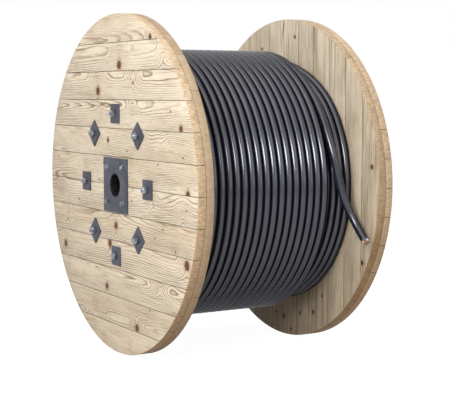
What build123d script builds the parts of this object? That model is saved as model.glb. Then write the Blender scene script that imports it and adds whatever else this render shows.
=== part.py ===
from build123d import *
import os
from math import cos, floor, pi, radians, sin, tan

# Wooden cable drum with a full winding of power cable, standing on its two rims.
# Each flange is two layers of pine planks laid crosswise, and a barrel of staves is clamped
# between the flanges by eight tie rods. All sizes are in millimetres.
# The finished part has +Z up, the drum's axis along Y and the origin on the floor under the
# drum's middle. The near flange is the one at -Y.

# Flanges
flange_diameter = 1250.0
traverse = 670.0  # clear width between the flanges
layer_thickness = 30.0  # one layer of planks, and a flange has two
planks_per_layer = 12
plank_gap = 1.5  # open joint between neighbouring planks

# Barrel
barrel_diameter = 630.0
stave_count = 24
stave_thickness = 28.0
stave_gap = 1.0
groove_depth = 6.0  # groove in the inner planks that holds the staves' ends
seat_clearance = 0.3

# Tie rods with their nuts and square washers
rod_count = 8
rod_diameter = 16.0
rod_inset = 16.5  # clear space between the rods and the staves around them
rod_hole_clearance = 0.5
washer_side = 70.0
washer_thickness = 6.0
nut_across_flats = 24.0
nut_thickness = 13.0
rod_end_past_nut = 7.0

# Centre plates with their spindle bushes
plate_side = 200.0
plate_thickness = 6.0
spindle_bore_diameter = 80.0
bush_wall = 4.0

# Cable and its winding
cable_diameter = 30.0
winding_diameter = 1000.0
winding_slack = 4.0  # between the winding and each flange
open_turns = 4  # the top layer stops this many turns short, and the layer below shows
turn_groove = 9.0  # how deep the grooves between the turns are drawn
end_groove = 4.0  # and those between the layers, on the winding's ends

# Free end of the cable: the last turn, which comes over the top and hangs off at the front
core_count = 4
core_diameter = 10.0
core_circle_diameter = 14.6
core_length = 7.0  # how far the cores stand out of the cut sheath
core_first_angle = 45.0
tail_clearance = 0.3
tail_start_angle = 85.0  # about the drum's axis, from the front upwards
tail_step = 20.0
tail_drift = 5.0, 12.0  # the last corners on the winding move this far towards the far flange
# Corners where the end works across the open turns and hangs clear of them: the angle about
# the axis, then the distance out from the last turn and the distance along the axis, both in
# cable diameters.
tail_end_corners = [
    (3.5, 0.07, 1.06),
    (-3.5, 0.20, 1.59),
    (-9.0, 0.73, 2.16),
    (-12.8, 1.54, 2.56),
    (-15.7, 2.56, 2.79),
    (-18.1, 3.92, 2.90),
]
arc_share = 0.45  # of the shorter run, which each end of a corner's arc takes up

# Values that follow from the driving dimensions
flange_radius = flange_diameter / 2
half_traverse = traverse / 2
flange_outer = half_traverse + 2 * layer_thickness
plank_pitch = flange_diameter / planks_per_layer
barrel_radius = barrel_diameter / 2
rod_radius = rod_diameter / 2
rod_circle_radius = barrel_radius - stave_thickness - rod_inset - rod_radius
bore_radius = spindle_bore_diameter / 2
bush_radius = bore_radius + bush_wall
cable_radius = cable_diameter / 2
winding_radius = winding_diameter / 2
lower_radius = winding_radius - cable_diameter
winding_width = traverse - 2 * winding_slack
turns_across = floor(winding_width / cable_diameter)
turn_pitch = winding_width / turns_across
full_outer_turns = turns_across - open_turns
winding_bore_radius = barrel_radius + seat_clearance
layers = floor((winding_radius - winding_bore_radius) / cable_diameter)
past = 1.0  # how far a cutter reaches past the faces that it cuts


def stand_up(shape):
    """Turns a shape from the working frame, axis along Z, into the drum's frame."""
    return Pos(0, 0, flange_radius) * Rot(90, 0, 0) * shape


def to_side(shape, near):
    """The working frame has the near flange at +Z; the far one is its mirror image."""
    return shape if near else mirror(shape, about=Plane.XY)


def save(node, shape):
    export_step(stand_up(shape), "parts/" + node + ".step")


def save_as_placed(node, shape):
    """For the cable's free end, which is drawn upright about the drum's middle."""
    export_step(Pos(0, 0, flange_radius) * shape, "parts/" + node + ".step")


def disc(radius, low, high):
    """A cylinder about the drum's axis, from one distance along it to another."""
    return Pos(0, 0, low) * extrude(Circle(radius), high - low)


def rod_places():
    step = 360 / rod_count
    return [Rot(0, 0, i * step) * Pos(rod_circle_radius, 0, 0) for i in range(rod_count)]


def flange_holes():
    """What is cut from both layers: the bush's seat and the holes for the tie rods."""
    low = half_traverse - past
    high = flange_outer + past
    hole = Circle(rod_radius + rod_hole_clearance)
    holes = [Pos(0, 0, low) * extrude(place * hole, high - low) for place in rod_places()]
    return holes + [disc(bush_radius + seat_clearance, low, high)]


def stave_groove():
    """The round groove that the staves stand in, with a small clearance on both sides."""
    low = half_traverse - past
    high = half_traverse + groove_depth
    outer = disc(barrel_radius + seat_clearance, low, high)
    inner = disc(barrel_radius - stave_thickness - seat_clearance, low - past, high + past)
    return outer - inner


def plank_layer(low, high, upright, cuts):
    """One round layer, as its planks from one side to the other, each cut to the rim."""
    planks = []
    for i in range(planks_per_layer):
        middle = (i + 0.5) * plank_pitch - flange_radius
        width = plank_pitch - plank_gap
        if upright:
            board = Pos(middle, 0) * Rectangle(width, flange_diameter)
        else:
            board = Pos(0, middle) * Rectangle(flange_diameter, width)
        outline = Circle(flange_radius) & board
        plank = Pos(0, 0, low) * extrude(outline, high - low)
        for cut in cuts:
            plank = plank - cut
        planks.append(plank)
    return planks


def barrel_staves():
    """Staves with a round outer face and flat edges, their ends held in the grooves."""
    length = traverse + 2 * (groove_depth - seat_clearance)
    half_angle = pi / stave_count
    inner = barrel_radius - stave_thickness
    outer = barrel_radius + past
    half_in = inner * tan(half_angle) - stave_gap / 2
    half_out = outer * tan(half_angle) - stave_gap / 2
    wedge = Polygon(
        (inner, -half_in), (outer, -half_out), (outer, half_out), (inner, half_in), align=None
    )
    section = Circle(barrel_radius) & wedge
    stave = Pos(0, 0, -length / 2) * extrude(section, length)
    return Compound([Rot(0, 0, i * 360 / stave_count) * stave for i in range(stave_count)])


def tie_rods():
    """Threaded rods, each one solid with the nuts that are screwed on its two ends."""
    nut_seat = flange_outer + washer_thickness
    reach = nut_seat + nut_thickness + rod_end_past_nut
    nut = extrude(RegularPolygon(nut_across_flats / 2, 6, major_radius=False), nut_thickness)
    nut = Pos(0, 0, nut_seat) * nut
    rod = disc(rod_radius, -reach, reach) + nut + mirror(nut, about=Plane.XY)
    return Compound([place * rod for place in rod_places()])


def tie_rod_washers():
    """Square plates that turn with their place on the circle, one on each end of a rod."""
    outline = Rectangle(washer_side, washer_side) - Circle(rod_radius + rod_hole_clearance)
    washer = Pos(0, 0, flange_outer) * extrude(outline, washer_thickness)
    washers = [place * washer for place in rod_places()]
    return Compound(washers + [mirror(w, about=Plane.XY) for w in washers])


def centre_plate():
    """Square steel plate with a bush that lines the spindle hole through both layers."""
    front = flange_outer + plate_thickness
    plate = Pos(0, 0, flange_outer) * extrude(Rectangle(plate_side, plate_side), plate_thickness)
    bush = disc(bush_radius, half_traverse, front)
    return plate + bush - disc(bore_radius, half_traverse - past, front + past)


def cable_winding():
    """The wound cable as one turned solid: a ridge for each turn, and rings on its ends."""
    start = -winding_width / 2
    points = [(winding_bore_radius, start)]
    for layer in range(layers):
        middle = winding_radius - (layers - layer - 0.5) * cable_diameter
        if layer > 0:
            points.append((middle - cable_radius, start + end_groove))
        points.append((middle, start))
    for turn in range(turns_across):
        crest = winding_radius if turn < full_outer_turns else lower_radius
        low = start + turn * turn_pitch
        points.append((crest - turn_groove, low))
        points.append((crest, low + turn_pitch / 2))
        if turn + 1 == full_outer_turns:
            points.append((crest - turn_groove, low + turn_pitch))
    points.append((lower_radius - turn_groove, -start))
    for layer in range(layers - 1):
        middle = lower_radius - (layer + 0.5) * cable_diameter
        if layer > 0:
            points.append((middle + cable_radius, -start - end_groove))
        points.append((middle, -start))
    points.append((winding_bore_radius, -start))
    # The profile is drawn as radius and distance along Y, and Y is the working frame's -Z.
    profile = Plane.XZ * make_face(Polyline([(r, -y) for r, y in points], close=True))
    return revolve(profile, Axis.Z, 360)


def tail_route():
    """Corners of the free end's path: round the winding in even steps, then as it hangs."""
    lie = lower_radius + cable_radius + tail_clearance
    last_turn = -winding_width / 2 + (full_outer_turns + 0.5) * turn_pitch + 2 * tail_clearance
    corner = lie / cos(radians(tail_step / 2))
    places = [(tail_start_angle, lie, last_turn)]
    angle = tail_start_angle - tail_step / 2
    while angle > tail_step / 2:
        places.append((angle, corner, last_turn))
        angle -= tail_step
    for i, drift in enumerate(tail_drift, len(places) - len(tail_drift)):
        places[i] = (*places[i][:2], last_turn + drift)
    for angle, out, along in tail_end_corners:
        places.append((angle, lie + out * cable_diameter, last_turn + along * cable_diameter))
    return [Vector(r * cos(radians(a)), y, r * sin(radians(a))) for a, r, y in places]


def tail_path():
    """Straight runs joined by the largest tangent arcs that the shorter run allows."""
    points = tail_route()
    radii = []
    for before, corner, after in zip(points, points[1:], points[2:]):
        arrive = corner - before
        leave = after - corner
        turn = radians(arrive.get_angle(leave))
        radii.append(arc_share * min(arrive.length, leave.length) / tan(turn / 2))
    print("tail corners:", [tuple(round(v, 1) for v in point) for point in points])
    print("tail radii:", [round(radius) for radius in radii])
    return FilletPolyline(*points, radius=radii)


def cable_tail(path):
    start = Plane(origin=path @ 0, z_dir=path % 0)
    tube = sweep(start * Circle(cable_radius), path=path)
    section = pi * cable_radius**2
    print("tail length:", round(path.length, 1), "volume ratio:", tube.volume / section / path.length)
    return tube


def cable_cores(path):
    """The insulated cores, a little longer than the sheath they were cut with."""
    end = Plane(origin=path @ 1, z_dir=path % 1)
    places = PolarLocations(core_circle_diameter / 2, core_count, start_angle=core_first_angle)
    core = extrude(Circle(core_diameter / 2), core_length)
    return Compound([end * place * core for place in places.locations])


if __name__ == "__main__":
    os.makedirs("parts", exist_ok=True)
    holes = flange_holes()
    groove = stave_groove()
    middle_of_flange = half_traverse + layer_thickness
    for side in ("near", "far"):
        near = side == "near"
        inner = plank_layer(half_traverse, middle_of_flange, True, holes + [groove])
        outer = plank_layer(middle_of_flange, flange_outer, False, holes)
        for i in range(planks_per_layer):
            save(f"{side}_inner_plank_{i + 1:02d}", to_side(inner[i], near))
            save(f"{side}_outer_plank_{i + 1:02d}", to_side(outer[i], near))
        save(f"{side}_centre_plate", to_side(centre_plate(), near))
    save("barrel_staves", barrel_staves())
    save("tie_rods", tie_rods())
    save("tie_rod_washers", tie_rod_washers())
    save("cable_winding", cable_winding())
    path = tail_path()
    save_as_placed("cable_tail", cable_tail(path))
    save_as_placed("cable_cores", cable_cores(path))
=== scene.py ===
# %% [markdown]
# # A wooden cable drum
#
# The object is a drum of pine planks that stands on its two rims, full of black power cable.
# The measured solids are loaded first, as a fixed frame. Each step then makes one kind of
# piece in the place of its solid, with the detail and the finish that the solid lacks.

# %% Load the frame
import random
from math import cos, pi, radians, sin
import bmesh
import bpy
from mathutils import Matrix, Vector


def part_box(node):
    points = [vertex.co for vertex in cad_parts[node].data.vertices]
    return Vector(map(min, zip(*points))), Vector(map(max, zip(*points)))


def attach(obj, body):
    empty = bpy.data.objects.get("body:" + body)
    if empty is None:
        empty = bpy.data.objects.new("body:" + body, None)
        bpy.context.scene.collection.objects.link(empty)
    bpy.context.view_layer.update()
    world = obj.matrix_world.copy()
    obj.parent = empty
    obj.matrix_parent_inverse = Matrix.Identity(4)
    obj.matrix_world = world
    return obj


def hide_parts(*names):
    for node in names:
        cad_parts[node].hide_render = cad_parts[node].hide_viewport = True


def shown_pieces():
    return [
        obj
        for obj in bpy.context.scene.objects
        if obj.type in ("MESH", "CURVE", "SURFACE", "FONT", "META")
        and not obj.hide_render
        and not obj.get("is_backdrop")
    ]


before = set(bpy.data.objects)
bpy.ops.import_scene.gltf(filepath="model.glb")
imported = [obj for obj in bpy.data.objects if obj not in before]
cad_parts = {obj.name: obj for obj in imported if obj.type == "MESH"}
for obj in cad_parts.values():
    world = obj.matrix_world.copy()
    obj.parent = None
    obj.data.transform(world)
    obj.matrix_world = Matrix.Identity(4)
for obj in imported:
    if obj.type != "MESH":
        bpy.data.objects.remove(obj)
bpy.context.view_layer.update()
print("solids in the frame:", len(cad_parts))

# %% [markdown]
# ## Sizes
#
# The sizes that the pieces share are read from the boxes of the solids where a box shows
# them, and are the solids' own sizes elsewhere, so a piece fits where its solid is. Lengths
# are in metres. Y runs along the drum's axis, from the near flange to the far one, and Z is
# up. The joints between planks are drawn tight, as they look in the photograph.

# %% Read the sizes from the solids
low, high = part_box("near_outer_plank_06")
rim_radius = (high.x - low.x) / 2
layer_thickness = high.y - low.y
flange_outer = -low.y
middle_of_flange = flange_outer - layer_thickness
flange_inner = middle_of_flange - layer_thickness
axle = Vector((0, 0, rim_radius))
planks_per_layer = 12
plank_pitch = 2 * rim_radius / planks_per_layer
plank_gap = 0.0004
bore_radius = 0.040
bush_radius = 0.044
rod_radius = 0.008
rod_count = 8
rod_hole_radius = rod_radius + 0.0005
seat_clearance = 0.0003
washer_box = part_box("tie_rod_washers")
washer_thickness = -washer_box[0].y - flange_outer
washer_half = 0.035
rod_circle = washer_box[1].x - washer_half
rod_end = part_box("tie_rods")[1].y
print("rim", rim_radius, "flange faces", flange_inner, flange_outer, "rod circle", rod_circle)

# %% [markdown]
# ## The camera
#
# The camera's place was worked out from the two rims, the joints of the planks and the
# washers, so that the render frames the drum as the photograph does. It looks slightly down
# and across the drum's front left.

# %% Place the camera
camera_data = bpy.data.cameras.new("camera")
camera_data.sensor_width = 36
camera_data.lens = 95.556
camera = bpy.data.objects.new("camera", camera_data)
camera.location = (3.99096, -2.25050, 0.96203)
camera.rotation_euler = (radians(84.528), 0, radians(59.854))
bpy.context.scene.collection.objects.link(camera)
bpy.context.scene.camera = camera
print("lens", camera_data.lens, "mm")

# %% [markdown]
# ## The cable's free end
#
# The last turn comes over the top of the winding from behind. At the front it slides across
# the open turns towards the far flange, leaves the winding and hangs there as a stiff, slack
# curve, because a heavy cable keeps some of the bend that the drum gave it. The photograph
# shows it to its cut end, so that is its length: 0.94 m of 30 mm cable.
#
# A smooth spline through a few control points is how such a cable is drawn. The first points
# lie round the winding in even steps, and the others follow the hanging end.

# %% Draw the free end
cable_radius = 0.015
tail_points = [
    (0.0423, 0.2263, 0.4835),
    (0.1275, 0.2263, 0.4760),
    (0.2827, 0.2263, 0.4037),
    (0.4037, 0.2313, 0.2827),
    (0.4760, 0.2383, 0.1275),
    (0.4865, 0.2581, 0.0298),
    (0.4904, 0.2740, -0.0300),
    (0.5010, 0.2911, -0.0793),
    (0.5183, 0.3031, -0.1178),
    (0.5411, 0.3100, -0.1521),
    (0.5731, 0.3133, -0.1873),
]


def cable_curve(name, points, order, steps):
    """A round cable along one smooth spline, with the points given from the drum's axle."""
    curve = bpy.data.curves.new(name, "CURVE")
    curve.dimensions = "3D"
    curve.bevel_depth = 1.0
    curve.bevel_resolution = 14
    curve.use_fill_caps = True
    spline = curve.splines.new("NURBS")
    spline.points.add(len(points) - 1)
    for place, point in zip(spline.points, points):
        place.co = (*(Vector(point) + axle), 1)
        place.radius = cable_radius
    spline.order_u = order
    spline.use_endpoint_u = True
    curve.resolution_u = steps
    curve.render_resolution_u = steps
    piece = bpy.data.objects.new(name, curve)
    bpy.context.scene.collection.objects.link(piece)
    return piece


tail = cable_curve("free_end", tail_points, 3, 12)
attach(tail, "root")
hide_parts("cable_tail")
tail_end = axle + Vector(tail_points[-1])
tail_heading = (Vector(tail_points[-1]) - Vector(tail_points[-2])).normalized()
cut_place = tuple(round(v, 3) for v in tail_end)
print("free end of", len(tail_points), "control points, cut at", cut_place)

# %% [markdown]
# ## Helpers for meshes
#
# A piece is shaped in a bmesh with Blender's own operators, then stored as an object at the
# origin whose place is in its mesh. A part that is bevelled or trimmed by itself is made in a
# bmesh of its own first, and is then added to the piece's.

# %% Store, shape and join pieces
def store(bm, name, replaced, smooth, material):
    """Makes the bmesh a finished piece on the drum, smooth up to an angle in degrees."""
    bmesh.ops.recalc_face_normals(bm, faces=bm.faces[:])
    mesh = bpy.data.meshes.new(name)
    bm.to_mesh(mesh)
    bm.free()
    mesh.shade_smooth()
    mesh.set_sharp_from_angle(angle=radians(smooth))
    piece = bpy.data.objects.new(name, mesh)
    bpy.context.scene.collection.objects.link(piece)
    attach(piece, "root")
    if replaced:
        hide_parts(*replaced)
    mesh.materials.append(material)
    return piece


def triangles(piece):
    """How many triangles a piece has once its curves and modifiers are meshes."""
    shown = piece.evaluated_get(bpy.context.evaluated_depsgraph_get()).to_mesh()
    return sum(len(face.vertices) - 2 for face in shown.polygons)


def along_y(y=0.0, x=0.0, z=0.0):
    """Stands a shape that was drawn flat, facing up, so that it faces the near side."""
    return Matrix.Translation((x, y, rim_radius + z)) @ Matrix.Rotation(pi / 2, 4, "X")


def thicken(part, rise):
    """Extrudes a flat shape along a vector."""
    made = bmesh.ops.extrude_face_region(part, geom=part.faces[:], use_keep_orig=True)
    moved = [p for p in made["geom"] if isinstance(p, bmesh.types.BMVert)]
    bmesh.ops.translate(part, vec=rise, verts=moved)
    bmesh.ops.recalc_face_normals(part, faces=part.faces[:])


def soften(part, width):
    """Bevels the edges where faces meet at more than 40 degrees."""
    inner = [edge for edge in part.edges if edge.is_manifold]
    sharp = [edge for edge in inner if edge.calc_face_angle() > radians(40)]
    bmesh.ops.bevel(
        part, geom=sharp, offset=width, segments=2, profile=0.5, affect="EDGES", material=-1,
        clamp_overlap=True,
    )


def trim(part, place, way):
    """Saws off what lies past a plane, on the side where the way points."""
    geometry = part.verts[:] + part.edges[:] + part.faces[:]
    bmesh.ops.bisect_plane(part, geom=geometry, plane_co=place, plane_no=way, clear_outer=True)


def spin_round(part, profile, edges, steps, axis=(0, 0, 1), weld=0.00001):
    """Spins a profile once round an axis through the origin and welds the seam."""
    bmesh.ops.spin(
        part, geom=profile + edges, cent=(0, 0, 0), axis=axis, angle=2 * pi, steps=steps,
        use_merge=True,
    )
    bmesh.ops.remove_doubles(part, verts=part.verts[:], dist=weld)


def join_into(bm, part, place):
    """Adds a finished part to a piece, at its place."""
    bmesh.ops.transform(part, matrix=place, verts=part.verts[:])
    scratch = bpy.data.meshes.new("scratch")
    part.to_mesh(scratch)
    part.free()
    bm.from_mesh(scratch)
    bpy.data.meshes.remove(scratch)


print("mesh helpers are ready")

# %% [markdown]
# ## Shader maths
#
# Procedural materials are formulas. A small class wraps an output socket, so that a formula
# is written as it would be on paper and adds its own Math nodes.

# %% Wrap sockets so that formulas add nodes
class Wire:
    """A value in a material's node tree."""

    def __init__(self, tree, socket):
        self.tree = tree
        self.socket = socket

    def math(self, operation, *others):
        sockets = dict(enumerate((self, *others)))
        return node(self.tree, "ShaderNodeMath", {"operation": operation}, sockets)

    def stretch(self, shares):
        sockets = {0: self, 1: shares}
        return node(self.tree, "ShaderNodeVectorMath", {"operation": "MULTIPLY"}, sockets)

    def __add__(self, other):
        return self.math("ADD", other)

    def __sub__(self, other):
        return self.math("SUBTRACT", other)

    def __rsub__(self, other):
        return node(self.tree, "ShaderNodeMath", {"operation": "SUBTRACT"}, {0: other, 1: self})

    def __mul__(self, other):
        return self.math("MULTIPLY", other)

    def __truediv__(self, other):
        return self.math("DIVIDE", other)

    def __pow__(self, other):
        return self.math("POWER", other)

    __radd__ = __add__

    def step(self, start, end):
        """0 below start, 1 above end and smooth between them; turned round if end is lower."""
        settings = {"interpolation_type": "SMOOTHSTEP"}
        sockets = {"Value": self, "From Min": start, "From Max": end}
        return node(self.tree, "ShaderNodeMapRange", settings, sockets)

    def blend(self, first, second, way="MIX"):
        """The first colour where this value is 0 and the second where it is 1."""
        settings = {"data_type": "RGBA", "blend_type": way, "clamp_factor": True}
        return node(self.tree, "ShaderNodeMix", settings, {0: self, 6: first, 7: second}, 2)


def node(tree, kind, settings=None, sockets=None, out=0):
    """Adds a node, with its settings first and then the values or links of its sockets."""
    made = tree.nodes.new(kind)
    for name, value in (settings or {}).items():
        setattr(made, name, value)
    for name, value in (sockets or {}).items():
        if isinstance(value, Wire):
            tree.links.new(value.socket, made.inputs[name])
        else:
            made.inputs[name].default_value = value
    return Wire(tree, made.outputs[out]) if made.outputs else made


def paint(*levels):
    """A screen colour, red, green and blue from 0 to 255, as the linear one of shaders."""
    shares = [level / 255 for level in levels]
    linear = [v / 12.92 if v <= 0.04045 else ((v + 0.055) / 1.055) ** 2.4 for v in shares]
    return (*linear, 1)


def new_material(name):
    """An empty material, and its tree."""
    material = bpy.data.materials.new(name)
    material.use_nodes = True
    material.node_tree.nodes.clear()
    return material, material.node_tree


def surface(tree, colour, roughness, height, distance, strength, constants=None):
    """Ends a material in one Principled shader, with a height for its bump."""
    sockets = {"Base Color": colour, "Roughness": roughness, **(constants or {})}
    bump = {"Height": height, "Distance": distance, "Strength": strength}
    sockets["Normal"] = node(tree, "ShaderNodeBump", None, bump)
    shader = node(tree, "ShaderNodeBsdfPrincipled", None, sockets)
    node(tree, "ShaderNodeOutputMaterial", None, {"Surface": shader})


def coordinates(tree, kind="Object"):
    """Where a point lies on the drum or, with "Normal", which way its surface faces there."""
    return node(tree, "ShaderNodeTexCoord", None, None, kind)


def noise(tree, place, detail=2.0, roughness=0.5, distortion=0.0, scale=1.0):
    """Soft random variation round 0.5."""
    sockets = {"Vector": place, "Scale": scale, "Detail": detail}
    sockets.update({"Roughness": roughness, "Distortion": distortion})
    return node(tree, "ShaderNodeTexNoise", None, sockets)


print("shader helpers are ready")

# %% [markdown]
# ## Pine
#
# A plank is a slice of a log. The growth rings are cylinders round the log's pith, which lies
# some way below the plank's face and isn't quite parallel to it, so the face shows long
# flames and ovals, and the sawn ends show arcs. The material does the same: it measures the
# distance from the pith and draws a thin dark line for each year.
#
# Each plank carries its place inside its own log as an attribute of its mesh, so that no two
# planks match and the grain runs through from face to edge to end. Up to three knots are
# attributes too: the vector from the knot's middle, with its size. Rings swell round a knot,
# as they grew round the branch.
#
# One more attribute says which faces are the sawn rim, how warm the plank is, and which faces
# are joints, where dirt gathers. The inner layer's rim is painted a little darker as shade, but
# not where its wood is aged. The wood, and the rim most, is painted darker towards the ground
# as shade, more on aged pine. Aged pine has a greyer cast all over, with broad stripes along
# its grain.

# %% Make the pine material
def attribute(tree, name):
    """A vector that the mesh carries, as its node's vector output."""
    return node(tree, "ShaderNodeAttribute", {"attribute_name": name}, None, 1)


def split(tree, vector):
    """The three parts of a vector."""
    return [node(tree, "ShaderNodeSeparateXYZ", None, {0: vector}, i) for i in range(3)]


def pine(name, light, warm, line, grey_cast, swirl, ground_shade, stripes):
    """Sawn pine with a grey cast, rings that swirl at the knots and painted shade towards the
    ground.
    """
    material, tree = new_material(name)
    log = attribute(tree, "log")
    _, across, depth = split(tree, log)
    rim, tone, joint = split(tree, attribute(tree, "plank"))

    sway = noise(tree, log.stretch((1.3, 5.0, 5.0)), detail=1.0)
    waver = noise(tree, log.stretch((9.0, 45.0, 45.0)), detail=3.0)
    field = (across * across + depth * depth) ** 0.5
    field = field + (sway - 0.5) * 0.036 + (waver - 0.5) * 0.005

    knot_core = 0.0
    knot_halo = 0.0
    ragged = noise(tree, log.stretch((90.0, 90.0, 90.0)), detail=2.0)
    for knot in ("knot_1", "knot_2", "knot_3"):
        from_x, from_y, size = split(tree, attribute(tree, knot))
        reach = size.math("ABSOLUTE")
        away = (from_x * from_x + from_y * from_y) ** 0.5
        near = away / reach
        field = field + ((near * near) * -0.065).math("EXPONENT") * reach * swirl
        edge = near + (ragged - 0.5) * 0.5
        live = size.step(0.0, 0.001)
        knot_core = edge.step(1.6, 1.15) * live + knot_core
        knot_halo = edge.step(3.2, 1.1) * (live * 0.75 + 0.25) + knot_halo

    year_width = 0.0056
    year = (field / year_width).math("FRACT")
    late = year.step(0.45, 0.93) * year.step(1.0, 0.95)
    patchy = noise(tree, log.stretch((2.2, 18.0, 18.0)), detail=2.0)
    late = late ** 1.7 * (patchy.step(0.24, 0.70) + knot_halo).math("MINIMUM", 1.0)

    fibre = noise(tree, log.stretch((16.0, 700.0, 700.0)), detail=3.0)
    streak = noise(tree, log.stretch((5.0, 190.0, 190.0)), detail=4.0, roughness=0.6)
    cloud = noise(tree, log.stretch((4.0, 16.0, 16.0)), detail=3.0)
    body = (cloud * 1.3 + tone - 0.65).step(0.1, 1.0).blend(light, warm)
    body = (fibre.step(0.35, 0.75) * 0.25).blend(body, line)
    body = (streak.step(0.50, 0.74) * 0.50).blend(body, line)
    broad = noise(tree, log.stretch((2.4, 62.0, 62.0)), detail=3.0, roughness=0.65)
    body = (broad.step(0.50, 0.70) * stripes).blend(body, line)
    body = (late * 0.92).blend(body, line)

    body = (knot_halo.math("MINIMUM", 1.0) * 0.5).blend(body, paint(170, 122, 80))
    rings = (knot_core * 3.0 + ragged * 2.0).math("FRACT")
    heart = (rings * 0.5).blend(paint(100, 62, 38), paint(62, 39, 26))
    body = (knot_core.math("MINIMUM", 1.0) * 0.95).blend(body, heart)

    place = coordinates(tree)
    sawn = noise(tree, place.stretch((140.0, 60.0, 140.0)), detail=4.0, roughness=0.7)
    worn = noise(tree, place, detail=3.0, scale=26.0)
    cut = sawn.step(0.3, 0.72).blend(paint(242, 215, 179), paint(194, 164, 127))
    cut = (worn.step(0.45, 0.8) * 0.3).blend(cut, paint(160, 134, 104))
    # Painted shade: the inner layer's rim, with a rim value of 0.8, is darker.
    cut = (rim.step(0.95, 0.85) * 0.55).blend(cut, paint(160, 136, 108))
    body = (rim.math("GREATER_THAN", 0.5) * 0.88).blend(body, cut)

    grime = noise(tree, log.stretch((3.0, 9.0, 9.0)), detail=4.0, roughness=0.65)
    body = (grime.step(0.42, 0.75) * 0.55 + 0.35).blend(body, grey_cast, "MULTIPLY")
    # Painted shade: darker towards the ground, most on the rim, and more on aged pine.
    shade_towards_ground = split(tree, place)[2].step(2 * rim_radius, 0.0)
    body = (shade_towards_ground * (ground_shade + rim * 0.7)).blend(body, paint(170, 154, 132), "MULTIPLY")
    body = (joint * 0.82).blend(body, paint(62, 48, 36))

    height = fibre * 0.5 + streak * 0.4 - late * 0.6 - knot_core * 0.5 + sawn * rim * 1.6
    roughness = 0.66 + fibre * 0.14 - knot_core * 0.08
    surface(tree, body, roughness, height, 0.0006, 0.6, {"Specular IOR Level": 0.3})
    return material


fresh_pine = pine(
    "fresh_pine", light=paint(236, 223, 199), warm=paint(219, 200, 169), line=paint(120, 90, 60),
    grey_cast=paint(224, 218, 212), swirl=2.3, ground_shade=0.2, stripes=0.0,
)
aged_pine = pine(
    "aged_pine", light=paint(244, 229, 203), warm=paint(220, 200, 170), line=paint(88, 70, 50),
    grey_cast=paint(208, 202, 194), swirl=1.2, ground_shade=0.62, stripes=0.5,
)
print("pine materials:", fresh_pine.name, aged_pine.name)

# %% [markdown]
# ## The flanges' planks
#
# A flange is two layers of planks, laid crosswise and nailed together, and then sawn round.
# The quickest way to such a set is the joiner's own: draw the round layer once, with its
# holes, saw it into strips, and give each strip its thickness and softened edges. Bisect
# saws, extrude thickens and bevel breaks the edges.

# %% Draw the round layer with its holes
def round_blank():
    """The flange's outline with its holes, as one flat face in the XY plane."""
    bm = bmesh.new()
    bmesh.ops.create_circle(bm, segments=256, radius=rim_radius)
    bmesh.ops.create_circle(bm, segments=48, radius=bush_radius + seat_clearance)
    for i in range(rod_count):
        turn = Matrix.Rotation(2 * pi * i / rod_count, 4, "Z")
        place = turn @ Matrix.Translation((rod_circle, 0, 0))
        bmesh.ops.create_circle(bm, segments=16, radius=rod_hole_radius, matrix=place)
    bmesh.ops.triangle_fill(bm, use_beauty=True, edges=bm.edges[:])
    bmesh.ops.transform(bm, matrix=along_y(), verts=bm.verts[:])
    return bm


blank = round_blank()
print("blank has", len(blank.faces), "faces")

# %% Saw one plank from the blank
plank_edge = 0.0014


def saw_plank(low, high, upright, y):
    """The strip of the blank between two lines, made a plank with its near face at y."""
    bm = blank.copy()
    way = Vector((1, 0, 0)) if upright else Vector((0, 0, 1))
    base = Vector((0, 0, 0)) if upright else axle
    for cut, side in ((low, -1), (high, 1)):
        trim(bm, base + way * cut, way * side)
    bmesh.ops.translate(bm, vec=(0, y, 0), verts=bm.verts[:])
    thicken(bm, (0, layer_thickness, 0))
    soften(bm, plank_edge)
    return bm


trial = saw_plank(0, plank_pitch - plank_gap, False, 0)
print("a plank has", len(trial.faces), "faces")
trial.free()

# %% [markdown]
# The knots of the near face, and of the face that the far flange turns to the cable, are put
# about where the real ones are. The planks that the photograph doesn't show get one
# to three at random. A knot is a place on the face and a size, and one with a negative size
# has no dark heart and only bends the grain.

# %% Place the knots and give each plank its log
dice = random.Random(11)
near_face_knots = {
    1: [(0.106, -0.578, -0.010), (-0.12, -0.60, -0.012)],
    2: [(0.165, -0.505, 0.010), (-0.20, -0.47, -0.016)],
    3: [(-0.091, -0.388, 0.0085), (0.349, -0.323, -0.013), (-0.308, -0.375, -0.012)],
    4: [(-0.487, -0.268, 0.0095), (-0.061, -0.221, 0.0105), (0.546, -0.232, 0.012)],
    5: [(-0.006, -0.150, 0.009), (0.461, -0.190, -0.012), (-0.46, -0.14, -0.009)],
    6: [(-0.52, -0.06, -0.010), (0.520, -0.070, -0.011), (0.30, -0.03, -0.008)],
    7: [(0.554, 0.004, 0.009), (-0.276, 0.071, -0.013), (0.13, 0.085, -0.006)],
    8: [(-0.070, 0.163, 0.0065), (0.278, 0.130, -0.016), (0.369, 0.131, -0.013)],
    9: [(0.507, 0.219, 0.008), (0.137, 0.270, -0.010), (-0.13, 0.25, -0.008)],
    10: [(-0.156, 0.345, 0.0115), (0.147, 0.401, -0.012), (-0.164, 0.397, -0.014)],
    11: [(0.032, 0.438, 0.0115), (0.033, 0.492, -0.013), (0.38, 0.47, -0.009)],
    12: [(0.283, 0.529, 0.007), (-0.078, 0.594, -0.008)],
}
far_face_knots = {
    5: [(-0.161, 0.515, 0.004)],
    6: [(-0.045, -0.545, 0.004)],
    7: [(0.079, 0.554, 0.005), (0.007, -0.554, 0.008), (0.062, -0.599, 0.004)],
    8: [(0.127, -0.523, 0.004)],
    9: [(0.199, 0.580, 0.008), (0.217, -0.506, 0.006), (0.278, -0.434, 0.004)],
    10: [(0.415, 0.231, -0.012)],
    12: [(0.580, 0.075, 0.006), (0.528, -0.276, 0.006)],
}


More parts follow.
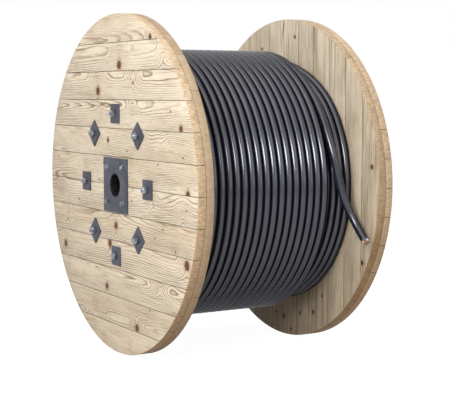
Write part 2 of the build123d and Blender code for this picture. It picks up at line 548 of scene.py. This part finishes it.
def chance_knots(middle, upright):
    """One to three knots somewhere on a plank."""
    places = []
    for _ in range(dice.choice((1, 2, 2, 3))):
        reach = (rim_radius**2 - middle**2) ** 0.5 * 0.9
        along = dice.uniform(-reach, reach)
        across = middle + dice.uniform(-0.035, 0.035)
        size = dice.choice((-0.012, -0.009, 0.007, 0.009, 0.011))
        places.append((across, along, size) if upright else (along, across, size))
    return places


def write_vectors(mesh, name, values):
    """Stores a vector for each vertex of the mesh."""
    stored = mesh.attributes.new(name, "FLOAT_VECTOR", "POINT")
    for item, value in zip(stored.data, values):
        item.vector = value


def give_log(mesh, face, middle, upright, knots, straight):
    """Writes where the plank lies in its log, its knots, and which faces are rim or joint."""
    pith_across = dice.uniform(0.015, 0.075) * dice.choice((-1, 1)) * (2.2 if straight else 1)
    pith_depth = dice.uniform(0.022, 0.060) * dice.choice((-1, 1))
    slope = dice.uniform(-0.05, 0.05) * (0.4 if straight else 1)
    skew = dice.uniform(-0.03, 0.03)
    start = dice.uniform(0, 40)
    logs, offsets = [], [[], [], []]
    for vertex in mesh.vertices:
        place = vertex.co - axle
        along, across = (place.z, place.x) if upright else (place.x, place.z)
        depth = place.y - (face + layer_thickness / 2)
        rise = pith_depth + depth + slope * along
        logs.append((start + along, across - middle - pith_across + skew * along, rise))
        for slot in range(3):
            if slot < len(knots):
                x, z, size = knots[slot]
                offsets[slot].append((place.x - x, place.z - z, size))
            else:
                offsets[slot].append((1.0, 1.0, -0.001))
    write_vectors(mesh, "log", logs)
    for slot in range(3):
        write_vectors(mesh, f"knot_{slot + 1}", offsets[slot])
    tone = dice.uniform(0.0, 0.45)
    edge_reach = 0.0025
    stored = mesh.attributes.new("plank", "FLOAT_VECTOR", "FACE")
    for polygon in mesh.polygons:
        out = polygon.center - axle
        far_out = (out.x**2 + out.z**2) ** 0.5
        on_rim = far_out > rim_radius - edge_reach and abs(polygon.normal.y) < 0.95
        side = abs(polygon.normal.x if upright else polygon.normal.z)
        if on_rim:
            side = abs(polygon.normal.x * out.z - polygon.normal.z * out.x) / far_out
        joint = max(0.0, min(1.0, (side - 0.2) / 0.3))
        between = abs(abs(polygon.center.y) - middle_of_flange) < edge_reach
        if on_rim and between and abs(polygon.normal.y) > 0.2:
            joint = max(joint, 0.45)
        # The inner layer's rim gets 0.8, which the pine paints darker as shade, except on aged
        # wood.
        rim = (0.8 if upright and not straight else 1.0) if on_rim else 0.0
        stored.data[polygon.index].vector = (rim, tone, joint)


# %% Make the four layers
def make_layer(side, layer):
    """Twelve planks in the places of their solids."""
    upright = layer == "inner"
    face = {
        ("near", "outer"): -flange_outer,
        ("near", "inner"): -middle_of_flange,
        ("far", "inner"): flange_inner,
        ("far", "outer"): middle_of_flange,
    }[side, layer]
    wood = aged_pine if (side, layer) == ("far", "inner") else fresh_pine
    seen = {("near", "outer"): near_face_knots, ("far", "inner"): far_face_knots}
    total = 0
    for i in range(planks_per_layer):
        middle = (i + 0.5) * plank_pitch - rim_radius
        half = (plank_pitch - plank_gap) / 2
        bm = saw_plank(middle - half, middle + half, upright, face)
        node_name = f"{side}_{layer}_plank_{i + 1:02d}"
        piece = store(bm, node_name.replace("plank", "board"), [node_name], 35, wood)
        by_chance = [] if wood == aged_pine else chance_knots(middle, upright)
        knots = seen.get((side, layer), {}).get(i + 1, by_chance)
        give_log(piece.data, face, middle, upright, knots, wood == aged_pine)
        total += triangles(piece)
    print(side, layer, "layer:", total, "triangles")


for side in ("near", "far"):
    for layer in ("inner", "outer"):
        make_layer(side, layer)
blank.free()

# %% [markdown]
# ## The staves
#
# The staves of the barrel keep their measured solids: nothing of them shows but a glimpse
# through the spindle's bore. Their wood reads Object coordinates, with the grain along Y.

# %% Give the staves their wood
def stave_pine():
    """Plain sawn pine with its grain along the drum's axis."""
    material, tree = new_material("stave_pine")
    place = coordinates(tree)
    grain = noise(tree, place.stretch((60.0, 3.0, 60.0)), detail=3.0, distortion=0.6)
    fibre = noise(tree, place.stretch((500.0, 12.0, 500.0)), detail=2.0)
    colour = grain.step(0.3, 0.7).blend(paint(214, 184, 140), paint(184, 146, 100))
    colour = (fibre * 0.35).blend(colour, paint(140, 106, 70))
    surface(tree, colour, 0.7 + fibre * 0.1, fibre + grain, 0.0006, 0.5)
    return material


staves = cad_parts["barrel_staves"]
staves.data.materials.clear()
staves.data.materials.append(stave_pine())
print("staves keep", len(staves.data.polygons), "faces")

# %% [markdown]
# ## The cable sheath
#
# The sheath is a black polymer, glossy where it is rubbed, with a little dust. Its fine
# streaks run along the cable, which is round the drum, so the material turns the place into
# an angle, a distance along the axis and a distance from it, and stretches its noise along
# the angle.
#
# The grooves between the turns are painted near black and dull, as shade. How deep a point lies
# in a groove follows from its distance from the axle, which repeats with each layer of the
# winding. The flank towards the far flange is painted dark and dull as shade too, dust on the top
# takes some of the shine, and the underside is painted duller as shade. These three follow from
# which way the surface faces on the drum itself, so they don't move with the view.

# %% Make the sheath material
def sheath(name, crest_radius=None):
    """Black polymer, streaked round the drum and, with a crest, painted dark and dull as shade in
    grooves and far flanks.
    """
    material, tree = new_material(name)
    x, y, z = split(tree, coordinates(tree))
    up = z - rim_radius
    angle = up.math("ARCTAN2", x)
    radius = (x * x + up * up) ** 0.5
    groove_shade = radius * 0.0
    _, faces_far, faces_up = split(tree, coordinates(tree, "Normal"))
    if crest_radius:
        layers_down = (crest_radius - radius) / (2 * cable_radius)
        # Painted shade: the grooves and the flank towards the far flange go near black and dull.
        groove_shade = ((layers_down + 0.05).math("FRACT") - 0.05).step(0.24, 0.38)
        groove_shade = groove_shade.math("MAXIMUM", faces_far.step(-0.1, 0.34))
    unrolled = node(tree, "ShaderNodeCombineXYZ", None, {0: angle, 1: y, 2: radius})
    streak = noise(tree, unrolled.stretch((3.0, 420.0, 420.0)), detail=3.0)
    scuff = noise(tree, unrolled.stretch((9.0, 60.0, 60.0)), detail=4.0, roughness=0.7)
    dust = noise(tree, unrolled.stretch((2.2, 14.0, 14.0)), detail=3.0)
    mottled = (streak * 0.5 + scuff * 0.5).step(0.35, 0.7)
    dusty = dust.step(0.5, 0.8)
    colour = mottled.blend(paint(25, 25, 34), paint(37, 37, 48))
    colour = (dusty * 0.2).blend(colour, paint(68, 68, 82))
    # Painted shade in the grooves and on the far flanks.
    colour = (groove_shade * 0.95).blend(colour, paint(4, 4, 5))
    roughness = 0.27 + scuff.step(0.4, 0.8) * 0.06 + dusty * 0.06 + groove_shade * 0.65
    full_coat = 0.98 if crest_radius else 0.78
    top_dust = faces_up.step(0.35, 1.0) * 0.5
    # Painted shade: the underside loses much of its coat.
    underside_shade = faces_up.step(-0.3, -0.85) * 0.75
    dust_and_shade = dusty * 0.25 + top_dust + underside_shade
    coat = (1.0 - groove_shade) * (full_coat - dust_and_shade).math("MAXIMUM", 0.1)
    gloss = {"Specular IOR Level": 0.08, "Specular Tint": (0.4, 0.55, 1.0, 1)}
    gloss.update({"Coat Weight": coat, "Coat Roughness": 0.2, "Coat IOR": 1.72})
    surface(tree, colour, roughness, streak + scuff * 0.6, 0.00003, 0.3, gloss)
    return material


winding_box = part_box("cable_winding")
outer_crest = (winding_box[1].x - winding_box[0].x) / 2
sheath_black = sheath("sheath_black", outer_crest)
free_sheath = sheath("free_sheath")
tail.data.materials.append(free_sheath)
print("the free end has", triangles(tail), "triangles")

# %% [markdown]
# ## The winding
#
# The outer layer is one long cable: eighteen turns, each a full round that ends in a short
# slanting step to the place of the next. The steps lie together at the top of the back. At
# its start the cable climbs out of the layer below, and its last turn goes on as the free
# end. Four turns of the layer below show beside it.
#
# A control point every 15 degrees makes a spline that is round to a fraction of a
# millimetre, once the points are moved out by what a cubic spline cuts off its corners.

# %% Wind the cable
winding_width = winding_box[1].y - winding_box[0].y
turns_across = 22
turn_pitch = winding_width / turns_across
outer_radius = outer_crest - cable_radius
inner_radius = outer_radius - 2 * cable_radius
open_turns = 4
points_per_turn = 24
step_points = 3
start_angle = 85.0


def wound(first, last, radius, way):
    """Control points of a layer from one turn to another, way being 1 or -1 along the axis."""
    points = []
    cut_off = (2 + cos(2 * pi / points_per_turn)) / 3
    count = abs(last - first) * points_per_turn
    for i in range(count + 1):
        turn, place = divmod(i, points_per_turn)
        share = max(0.0, (place - points_per_turn + step_points) / step_points)
        smooth = share * share * (3 - 2 * share)
        y = (first + way * (turn + smooth) + 0.5) * turn_pitch - winding_width / 2
        climb = min(1.0, i / step_points)
        r = (radius - (1 - climb) * 2 * cable_radius) / cut_off
        angle = radians(start_angle) - 2 * pi * i / points_per_turn * way
        points.append((r * cos(angle), y, r * sin(angle)))
    return points


outer_points = wound(0, turns_across - open_turns, outer_radius, 1)
outer_points[-1] = tail_points[0]
outer_layer = cable_curve("outer_turns", outer_points, 4, 6)
lower_points = wound(turns_across - 1, turns_across - open_turns - 1, inner_radius, -1)
lower_layer = cable_curve("lower_turns", lower_points, 4, 6)
print("outer layer:", len(outer_points), "control points; lower layer:", len(lower_points))

# %% [markdown]
# Both layers become meshes, because their place is settled and nothing bends them. Under
# them lies a plain core with the rounds of the hidden layers on its ends, spun in one go
# from a profile.

# %% Make meshes of the turns and spin the core
def to_mesh(piece, name, replaced):
    """Stores a curve piece's surface as a mesh piece in its place."""
    shown = piece.evaluated_get(bpy.context.evaluated_depsgraph_get())
    bm = bmesh.new()
    bm.from_mesh(bpy.data.meshes.new_from_object(shown))
    curve = piece.data
    bpy.data.objects.remove(piece)
    bpy.data.curves.remove(curve)
    return store(bm, name, replaced, 60, sheath_black)


def core_profile(bm):
    """Half the core's outline: a half round at each end of each hidden layer."""
    inset, cover, arc_steps = 0.004, 0.003, 6
    end = winding_width / 2
    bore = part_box("barrel_staves")[1].x + seat_clearance
    outline = [Vector((bore, -end + inset, 0))]
    layers = int((inner_radius + cable_radius - bore) / (2 * cable_radius))
    for way in (-1, 1):
        order = range(layers) if way < 0 else reversed(range(layers))
        for layer in order:
            middle = inner_radius - (layers - 1 - layer) * 2 * cable_radius
            for part in range(arc_steps + 1):
                bend = (part / arc_steps - 0.5) * pi * -way
                r = min(middle + sin(bend) * cable_radius, inner_radius - cover)
                outline.append(Vector((r, way * (end - cable_radius * (1 - cos(bend))), 0)))
    outline.append(Vector((bore, end - inset, 0)))
    verts = [bm.verts.new(point) for point in outline]
    return verts, [bm.edges.new(pair) for pair in zip(verts, verts[1:])]


outer_turns = to_mesh(outer_layer, "wound_cable", ["cable_winding"])
lower_turns = to_mesh(lower_layer, "lower_cable", [])
core = bmesh.new()
verts, edges = core_profile(core)
spin_round(core, verts, edges, 96, axis=(0, 1, 0), weld=0.0001)
bmesh.ops.translate(core, vec=axle, verts=core.verts[:])
winding_core = store(core, "winding_core", [], 40, sheath_black)
for piece in (outer_turns, lower_turns, winding_core):
    print(piece.name, triangles(piece), "triangles")

# %% [markdown]
# ## Steel
#
# The square washers and the centre plates are cut from sheet and dipped in a dark grey
# primer, dull and a little blotchy, worn at the edges. The nuts, the bolts and the rods'
# threaded ends are bright zinc.

# %% Make the steel materials
def primed_steel():
    """Dark slate primer with cloudy wear and fine scratches."""
    material, tree = new_material("primed_steel")
    place = coordinates(tree)
    cloud = noise(tree, place, detail=4.0, roughness=0.6, scale=22.0)
    speck = noise(tree, place, detail=3.0, roughness=0.7, scale=260.0)
    drawn_out = place.stretch((30.0, 30.0, 700.0))
    scratched = noise(tree, drawn_out, detail=2.0, distortion=0.8).step(0.66, 0.78)
    colour = cloud.step(0.3, 0.72).blend(paint(60, 61, 71), paint(82, 83, 94))
    colour = (speck.step(0.55, 0.78) * 0.4).blend(colour, paint(122, 120, 122))
    colour = (scratched * 0.35).blend(colour, paint(140, 140, 146))
    rust = noise(tree, place, detail=5.0, roughness=0.7, scale=38.0)
    colour = (rust.step(0.66, 0.82) * 0.4).blend(colour, paint(96, 70, 56))
    roughness = 0.46 + cloud * 0.16 - scratched * 0.12
    height = speck * 0.7 + cloud - scratched * 0.5
    surface(tree, colour, roughness, height, 0.0004, 0.5, {"Metallic": 0.35})
    return material


def zinc_steel(name, dark, light, roughness):
    """Zinc plate with a dull patchy bloom."""
    material, tree = new_material(name)
    place = coordinates(tree)
    bloom = noise(tree, place, detail=3.0, scale=90.0)
    grit = noise(tree, place, detail=3.0, roughness=0.7, scale=700.0)
    colour = bloom.step(0.3, 0.7).blend(dark, light)
    colour = (grit.step(0.6, 0.8) * 0.35).blend(colour, paint(110, 108, 106))
    surface(tree, colour, roughness + bloom * 0.2, grit, 0.0002, 0.4, {"Metallic": 0.9})
    return material


primed = primed_steel()
zinc = zinc_steel("dull_zinc", paint(100, 106, 114), paint(172, 178, 186), 0.3)
worn_bush = zinc_steel("worn_bush", paint(22, 22, 25), paint(46, 46, 50), 0.5)
print("steel materials:", primed.name, zinc.name, worn_bush.name)

# %% [markdown]
# ## Plates, washers and bushes
#
# A plate is a square outline and a round hole, filled between, extruded and bevelled. The
# same few operators make the sixteen washers and the two centre plates. The far side's
# pieces are the near side's, mirrored.

# %% Cut the plates and washers
sheet_edge = 0.0009


def rounded_plate(bm, half, hole, thickness, place, sides=32):
    """A square plate with a round hole and broken edges, its back on the place's plane."""
    part = bmesh.new()
    square = Matrix.Rotation(pi / 4, 4, "Z")
    bmesh.ops.create_circle(part, segments=4, radius=half * 2**0.5, matrix=square)
    bmesh.ops.create_circle(part, segments=sides, radius=hole)
    bmesh.ops.triangle_fill(part, use_beauty=True, edges=part.edges[:])
    thicken(part, (0, 0, thickness))
    soften(part, sheet_edge)
    join_into(bm, part, place)


def rod_spots():
    """The places of the rods on the near flange's face, facing out and turned with the circle."""
    spots = []
    for i in range(rod_count):
        angle = 2 * pi * i / rod_count
        turn = Matrix.Rotation(angle, 4, "Z")
        spots.append(along_y(-flange_outer) @ turn @ Matrix.Translation((rod_circle, 0, 0)))
    return spots


def mirror_across(bm):
    """Adds the far side's copies of everything in the piece."""
    copies = bmesh.ops.duplicate(bm, geom=bm.verts[:] + bm.edges[:] + bm.faces[:])["geom"]
    verts = [part for part in copies if isinstance(part, bmesh.types.BMVert)]
    faces = [part for part in copies if isinstance(part, bmesh.types.BMFace)]
    bmesh.ops.scale(bm, vec=(1, -1, 1), verts=verts)
    bmesh.ops.reverse_faces(bm, faces=faces)


bm = bmesh.new()
for spot in rod_spots():
    rounded_plate(bm, washer_half, rod_hole_radius, washer_thickness, spot)
mirror_across(bm)
washers = store(bm, "square_washers", ["tie_rod_washers"], 35, primed)
print("washers:", triangles(washers), "triangles")

# %% Make the centre plates and their bushes
plate_half = 0.100
plate_thickness = 0.006
bush_edge = 0.0008
for side, sign in (("near", 1), ("far", -1)):
    bm = bmesh.new()
    rounded_plate(bm, plate_half, bush_radius, plate_thickness, along_y(-flange_outer), 64)
    if sign < 0:
        bmesh.ops.scale(bm, vec=(1, -1, 1), verts=bm.verts[:])
    plate = store(bm, f"{side}_hub_plate", [f"{side}_centre_plate"], 35, primed)

    bush = bmesh.new()
    front = flange_outer + plate_thickness
    corners = [(bore_radius, flange_inner), (bush_radius, flange_inner)]
    corners += [(bush_radius, front), (bore_radius, front)]
    ring = [bush.verts.new((r, 0, -y)) for r, y in corners]
    edges = [bush.edges.new((ring[i], ring[(i + 1) % 4])) for i in range(4)]
    spin_round(bush, ring, edges, 64)
    bmesh.ops.recalc_face_normals(bush, faces=bush.faces[:])
    soften(bush, bush_edge)
    facing_out = along_y() @ Matrix.Scale(-1, 4, (0, 0, 1))
    bmesh.ops.transform(bush, matrix=facing_out, verts=bush.verts[:])
    if sign < 0:
        bmesh.ops.scale(bush, vec=(1, -1, 1), verts=bush.verts[:])
    liner = store(bush, f"{side}_bush", [], 35, worn_bush)
    print(plate.name, triangles(plate), "and", liner.name, triangles(liner), "triangles")

# %% [markdown]
# ## Nuts and threaded rods
#
# A thread is a zigzag profile that climbs by one pitch as it turns once, which is just what
# a spin with a rise makes. The zigzag's rows meet where the turn closes. The spun thread is
# trimmed flat at the tip, and the rod runs plain between the flanges.

# %% Cut threads, nuts and bolt heads
thread_pitch = 0.002
thread_root = 0.88
thread_sides = 20
corner_share = 0.06


def hex_head(bm, across, thickness, place):
    """A hexagon with chamfered corners, standing on the place's plane."""
    part = bmesh.new()
    bmesh.ops.create_circle(part, cap_ends=True, segments=6, radius=across / 2 / cos(pi / 6))
    thicken(part, (0, 0, thickness))
    soften(part, across * corner_share)
    join_into(bm, part, place)


def threaded_end(bm, radius, start, length, place):
    """A true thread from a start height, trimmed flat at both ends."""
    part = bmesh.new()
    rows = int(length / thread_pitch) + 2
    zigzag = []
    for row in range(2 * rows + 1):
        r = radius if row % 2 else radius * thread_root
        zigzag.append(part.verts.new((r, 0, start - thread_pitch + row * thread_pitch / 2)))
    edges = [part.edges.new(pair) for pair in zip(zigzag, zigzag[1:])]
    bmesh.ops.spin(
        part, geom=zigzag + edges, cent=(0, 0, 0), axis=(0, 0, 1), angle=2 * pi,
        steps=thread_sides, dvec=(0, 0, thread_pitch / thread_sides),
    )
    bmesh.ops.remove_doubles(part, verts=part.verts[:], dist=0.00002)
    for height, side in ((start, -1), (start + length, 1)):
        trim(part, (0, 0, height), (0, 0, side))
    bmesh.ops.holes_fill(part, edges=[edge for edge in part.edges if edge.is_boundary], sides=0)
    join_into(bm, part, place)


def shank(bm, radius, low, high, place, sides=16):
    """A plain round bar between two heights."""
    middle = Matrix.Translation((0, 0, (low + high) / 2))
    bmesh.ops.create_cone(
        bm, cap_ends=True, segments=sides, radius1=radius, radius2=radius, depth=high - low,
        matrix=place @ middle,
    )


nut_across = 0.024
nut_thickness = 0.013
nut_top = washer_thickness + nut_thickness
tip_length = rod_end - flange_outer - washer_thickness - nut_thickness
plain_radius = rod_radius * 0.95
overlap = 0.001
bm = bmesh.new()
for spot in rod_spots():
    on_washer = spot @ Matrix.Translation((0, 0, washer_thickness))
    hex_head(bm, nut_across, nut_thickness, on_washer)
    threaded_end(bm, rod_radius, nut_top - overlap, tip_length + overlap, spot)
    shank(bm, plain_radius, -flange_outer, washer_thickness + overlap, spot)
mirror_across(bm)
rods = store(bm, "threaded_rods", ["tie_rods"], 35, zinc)
print("rods and nuts:", triangles(rods), "triangles")

# %% [markdown]
# ## Bolts and nails
#
# Four bolts hold each centre plate, and the planks' two layers are nailed together. Nail
# heads are small discs, driven flush, so they stand only a third of a millimetre proud.

# %% Set the bolts and nails
bolt_half = 0.065
collar_radius, collar_thickness = 0.0125, 0.0014
head_across, head_thickness = 0.017, 0.0075
stub_radius, stub_end = 0.004, 0.0098
bm = bmesh.new()
for x in (-bolt_half, bolt_half):
    for z in (-bolt_half, bolt_half):
        spot = along_y(-flange_outer - plate_thickness, x, z)
        shank(bm, collar_radius, 0, collar_thickness, spot, 24)
        on_collar = spot @ Matrix.Translation((0, 0, collar_thickness))
        hex_head(bm, head_across, head_thickness, on_collar)
        shank(bm, stub_radius, head_thickness, stub_end, spot, 12)
mirror_across(bm)
bolts = store(bm, "plate_bolts", [], 35, zinc)
print("plate bolts:", triangles(bolts), "triangles")


# %% Finish the nails' steel and drive them
def nail_steel():
    """Dull grey-brown nail heads."""
    material, tree = new_material("nail_steel")
    place = coordinates(tree)
    bloom = noise(tree, place, detail=3.0, scale=300.0)
    colour = bloom.step(0.3, 0.7).blend(paint(84, 72, 62), paint(118, 108, 98))
    surface(tree, colour, 0.5 + bloom * 0.2, bloom, 0.0003, 0.5, {"Metallic": 0.4})
    return material


nail_spots = [
    (0.094, 0.129), (0.521, 0.123), (0.434, 0.276), (-0.545, 0.083), (-0.113, 0.079),
    (0.339, 0.092), (0.126, -0.047), (-0.344, -0.078), (0.372, -0.129), (0.311, -0.165),
    (0.271, -0.425), (0.465, -0.196), (0.545, -0.049),
]
nail_radius, nail_depth, nail_rise = 0.0042, 0.004, 0.0003
bm = bmesh.new()
for x, z in nail_spots:
    shank(bm, nail_radius, -nail_depth, nail_rise, along_y(-flange_outer, x, z), 12)
mirror_across(bm)
store(bm, "nail_heads", [], 35, nail_steel())
print("nails:", len(nail_spots) * 2)

# %% [markdown]
# ## The cut end
#
# The cable was sawn off square. The sheath shows as a grey ring, the filler lies a little
# back inside it, and four insulated cores stand out by a few millimetres, each with its
# bright conductor in the middle.

# %% Make the cut end
def plain_plastic(name, colour, shade, roughness):
    """A core's coloured insulation, slightly mottled."""
    material, tree = new_material(name)
    place = coordinates(tree)
    mottle = noise(tree, place, detail=3.0, scale=400.0)
    body = mottle.step(0.3, 0.7).blend(colour, shade)
    surface(tree, body, roughness + mottle * 0.1, mottle, 0.0002, 0.3)
    return material


end_turn = tail_heading.to_track_quat("Z", "Y").to_matrix().to_4x4()
end_frame = Matrix.Translation(tail_end) @ end_turn
inside, ring_back, ring_front = 0.0125, -0.004, 0.0002
bm = bmesh.new()
profile = [(inside, ring_back), (inside, ring_front)]
profile += [(cable_radius, ring_front), (cable_radius, ring_back)]
ring = [bm.verts.new((r, 0, z)) for r, z in profile]
edges = [bm.edges.new(pair) for pair in zip(ring, ring[1:])]
spin_round(bm, ring, edges, 32)
filler = Matrix.Translation((0, 0, ring_front / 2))
bmesh.ops.create_circle(bm, cap_ends=True, segments=32, radius=0.0126, matrix=filler)
bmesh.ops.transform(bm, matrix=end_frame, verts=bm.verts[:])
cut_sheath = plain_plastic("cut_sheath", paint(70, 70, 76), paint(122, 122, 130), 0.5)
cut_ring = store(bm, "cut_sheath_end", [], 35, cut_sheath)

core_looks = {
    "white": (paint(222, 218, 230), paint(236, 232, 240)),
    "grey": (paint(112, 116, 124), paint(90, 94, 102)),
    "yellow": (paint(228, 202, 96), paint(212, 184, 76)),
    "red": (paint(214, 112, 84), paint(196, 92, 68)),
}
core_circle, core_radius, core_end = 0.0073, 0.0049, 0.0064
conductor_radius, conductor_start, conductor_end = 0.0034, 0.001, 0.0068
core_places = []
for i in range(len(core_looks)):
    angle = radians(45 + 90 * i)
    middle = Matrix.Translation((core_circle * cos(angle), core_circle * sin(angle), 0))
    core_places.append(end_frame @ middle)
core_pieces = []
for place, (name, (colour, shade)) in zip(core_places, core_looks.items()):
    bm = bmesh.new()
    shank(bm, core_radius, 0.0, core_end, Matrix.Identity(4), 24)
    cut_face = max(bm.faces, key=lambda face: face.calc_center_median().z)
    bmesh.ops.inset_region(bm, faces=[cut_face], thickness=0.0013, depth=-0.0006)
    bmesh.ops.transform(bm, matrix=place, verts=bm.verts[:])
    insulation = plain_plastic(f"core_{name}", colour, shade, 0.35)
    replaced = [] if core_pieces else ["cable_cores"]
    piece = store(bm, f"core_{name}", replaced, 35, insulation)
    core_pieces.append(piece)
conductors = bmesh.new()
for place in core_places:
    shank(conductors, conductor_radius, conductor_start, conductor_end, place, 20)
copper = zinc_steel("bright_copper", paint(206, 140, 104), paint(226, 168, 132), 0.3)
conductor_piece = store(conductors, "conductors", [], 35, copper)
print("the cut end has", 2 + len(core_pieces), "pieces")

# %% [markdown]
# ## Floor, world and lamps
#
# The floor is plain and pale. The camera sees it and the world as white, which a mix on
# Light Path does without putting more light on the drum. Reflections see the same white
# world, but less of the floor's white, so they keep more of the drum's own shadow on it.
# A soft lamp at the front left draws the bright line along each turn, and a large one at
# the right gives the sheath its slate sheen. A wide one hangs above and one stands behind,
# and the world fills in the shade.

# %% Lay the floor and light the scene
floor_bm = bmesh.new()
bmesh.ops.create_grid(floor_bm, x_segments=1, y_segments=1, size=30)
floor_mesh = bpy.data.meshes.new("floor")
floor_bm.to_mesh(floor_mesh)
floor_bm.free()
floor = bpy.data.objects.new("floor", floor_mesh)
bpy.context.scene.collection.objects.link(floor)
floor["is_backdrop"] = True


def seen_directly(tree, by_camera=1.0, by_gloss=1.0):
    """How white the background is to the camera's rays, and to those off metal and glass."""
    path = tree.nodes.new("ShaderNodeLightPath")
    camera_ray = Wire(tree, path.outputs["Is Camera Ray"])
    glossy_ray = Wire(tree, path.outputs["Is Glossy Ray"])
    clear_ray = Wire(tree, path.outputs["Is Transmission Ray"])
    gloss = glossy_ray.math("MAXIMUM", clear_ray) * by_gloss
    return (camera_ray * by_camera).math("MAXIMUM", gloss)


def white_floor():
    """A pale floor that shows as white but keeps the drum's shadow."""
    material, tree = new_material("white_floor")
    matt = node(tree, "ShaderNodeBsdfDiffuse", None, {"Color": (0.8, 0.8, 0.8, 1)})
    glow = node(tree, "ShaderNodeEmission", None, {"Color": (1, 1, 1, 1), "Strength": 1.26})
    shown = seen_directly(tree, by_camera=0.76, by_gloss=0.4)
    mixed = node(tree, "ShaderNodeMixShader", None, {0: shown, 1: matt, 2: glow})
    node(tree, "ShaderNodeOutputMaterial", None, {"Surface": mixed})
    return material


floor_mesh.materials.append(white_floor())

world = bpy.data.worlds.new("studio")
bpy.context.scene.world = world
world.use_nodes = True
tree = world.node_tree
tree.nodes.clear()
fill = {"Color": (0.95, 0.97, 1, 1), "Strength": 0.38}
ambient = node(tree, "ShaderNodeBackground", None, fill)
white = node(tree, "ShaderNodeBackground", None, {"Color": (1, 1, 1, 1), "Strength": 1.0})
whole = node(tree, "ShaderNodeMixShader", None, {0: seen_directly(tree), 1: ambient, 2: white})
node(tree, "ShaderNodeOutputWorld", None, {"Surface": whole})


def soft_lamp(name, place, target, size, power, colour):
    """A rectangular area lamp that faces a point, its width and height in metres."""
    data = bpy.data.lights.new(name, "AREA")
    data.shape = "RECTANGLE"
    data.size, data.size_y = size
    data.energy = power
    data.color = colour
    lamp = bpy.data.objects.new(name, data)
    lamp.location = place
    lamp.rotation_euler = (Vector(target) - Vector(place)).to_track_quat("-Z", "Y").to_euler()
    bpy.context.scene.collection.objects.link(lamp)


soft_lamp("key", (2.8, -3.4, 2.1), (0, 0, 0.8), (2.3, 1.2), 152, (0.94, 0.955, 1.0))
soft_lamp("top", (0.7, -1.8, 3.9), (0, 0, 1.0), (4.0, 4.0), 70, (1.0, 0.99, 0.98))
soft_lamp("side", (4.6, 1.2, 2.3), (0, 0, 0.6), (4.6, 3.6), 44, (0.93, 0.96, 1.0))
soft_lamp("back", (-2.4, 4.2, 2.6), (0, 0, 0.6), (2.4, 2.4), 110, (0.98, 0.99, 1.0))
bpy.context.scene.view_settings.view_transform = "Standard"
print("lamps:", len(bpy.data.lights))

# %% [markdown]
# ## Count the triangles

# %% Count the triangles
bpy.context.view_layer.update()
print("triangles in all:", sum(triangles(piece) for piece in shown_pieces()))
